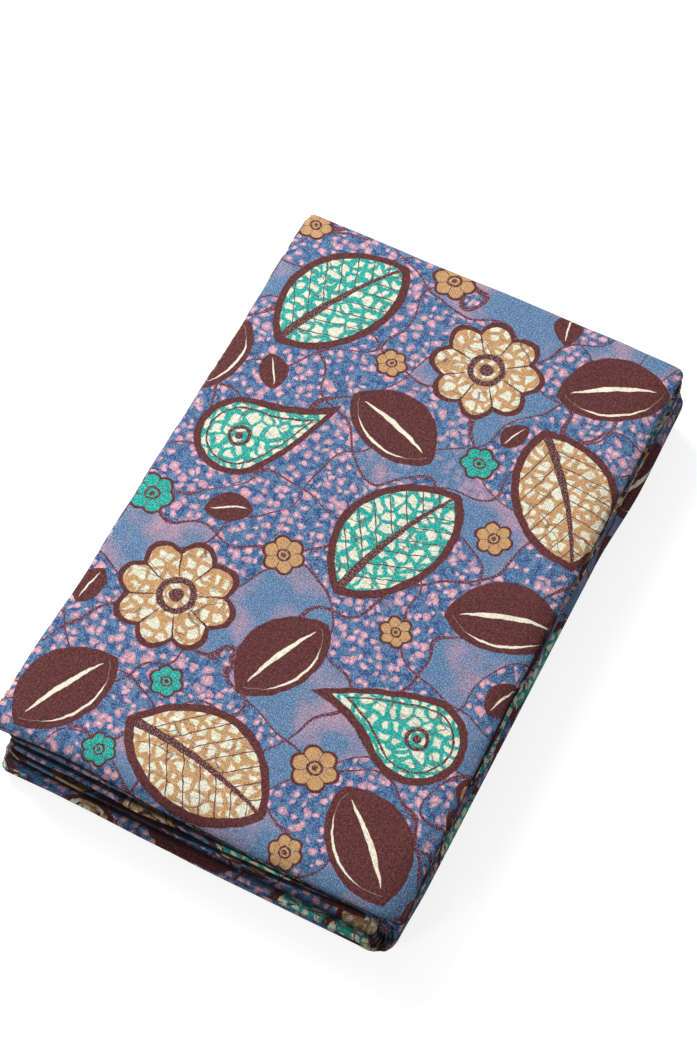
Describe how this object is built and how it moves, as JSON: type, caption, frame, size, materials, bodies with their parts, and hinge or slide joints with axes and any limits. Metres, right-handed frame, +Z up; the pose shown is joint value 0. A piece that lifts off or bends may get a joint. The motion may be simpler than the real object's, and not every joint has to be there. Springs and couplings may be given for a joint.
{
  "type": "folded wax print fabric",
  "caption": "Length of printed cotton cloth folded into a flat packet: folded noses at the front and back, a rounded spine on the right and open ply edges on the left.",
  "frame": {"origin": "on the surface that the packet lies on, under the middle of its box", "axes": "+X across the packet towards its rounded spine, +Y along its long side away from the front, +Z up"},
  "size_m": [0.1964, 0.3039, 0.0373],
  "materials": {
    "printed_face": "matte woven cotton, printed",
    "shaded_folds": "matte woven cotton, printed",
    "inner_plies": "matte woven cotton, printed"
  },
  "bodies": {
    "root": {"top_panel": "printed_face", "side_wrap": "shaded_folds", "hidden_layers": "inner_plies"}
  },
  "joints": []
}
